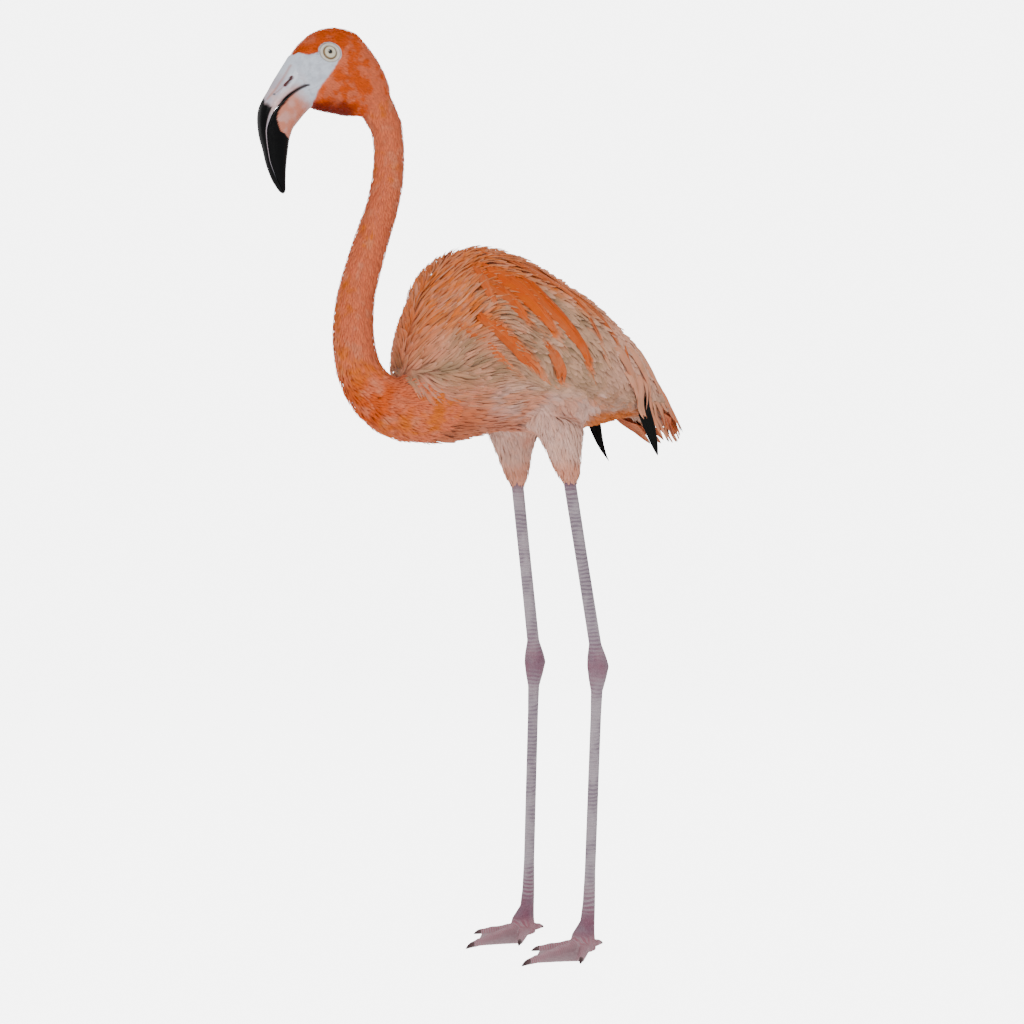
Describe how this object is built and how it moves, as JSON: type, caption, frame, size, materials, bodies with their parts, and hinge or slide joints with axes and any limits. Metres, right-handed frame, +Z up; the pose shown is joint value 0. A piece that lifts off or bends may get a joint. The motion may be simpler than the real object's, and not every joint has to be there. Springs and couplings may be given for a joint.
{
  "type": "american flamingo",
  "caption": "Standing American flamingo with a curved neck, bent-down bill, folded wings, long jointed legs and webbed feet, as a still museum model.",
  "frame": {"origin": "middle of the bird's bounding box, on the floor that its soles stand on", "axes": "+Z up from the floor to the crown; the body faces -Y, and the bird's left side is on +X"},
  "size_m": [0.213, 0.7464, 1.2289],
  "materials": {
    "plumage_orange": "short bright orange head feathers",
    "plumage_salmon": "soft salmon feathers",
    "plumage_pale": "pale pink feathers streaked with deep orange",
    "feather_black": "black flight feathers with a faint sheen",
    "horn_pink": "pale pinkish horn, satin",
    "horn_black": "black horn, satin gloss",
    "eye": "wet pale yellow eye",
    "leg_skin": "mauve grey scaled skin",
    "joint_skin": "dusty pink skin of joints and feet",
    "claw_horn": "dark horn"
  },
  "bodies": {
    "root": {"trunk": "plumage_pale", "tail": "plumage_salmon", "neck_base": "plumage_salmon", "neck_lower": "plumage_salmon", "neck_middle": "plumage_salmon", "neck_upper": "plumage_salmon", "head": "plumage_orange", "bill_upper": "horn_pink", "bill_lower": "horn_black", "eye_left": "eye", "wing_left": "plumage_pale", "primaries_left": "feather_black", "thigh_left": "plumage_pale", "tibia_left": "leg_skin", "hock_left": "joint_skin", "tarsus_left": "leg_skin", "foot_left": "joint_skin", "claw_left_middle": "claw_horn", "claw_left_outer": "claw_horn", "claw_left_inner": "claw_horn", "claw_left_hind": "claw_horn", "eye_right": "eye", "wing_right": "plumage_pale", "primaries_right": "feather_black", "thigh_right": "plumage_pale", "tibia_right": "leg_skin", "hock_right": "joint_skin", "tarsus_right": "leg_skin", "foot_right": "joint_skin", "claw_right_middle": "claw_horn", "claw_right_outer": "claw_horn", "claw_right_inner": "claw_horn", "claw_right_hind": "claw_horn"}
  },
  "joints": []
}
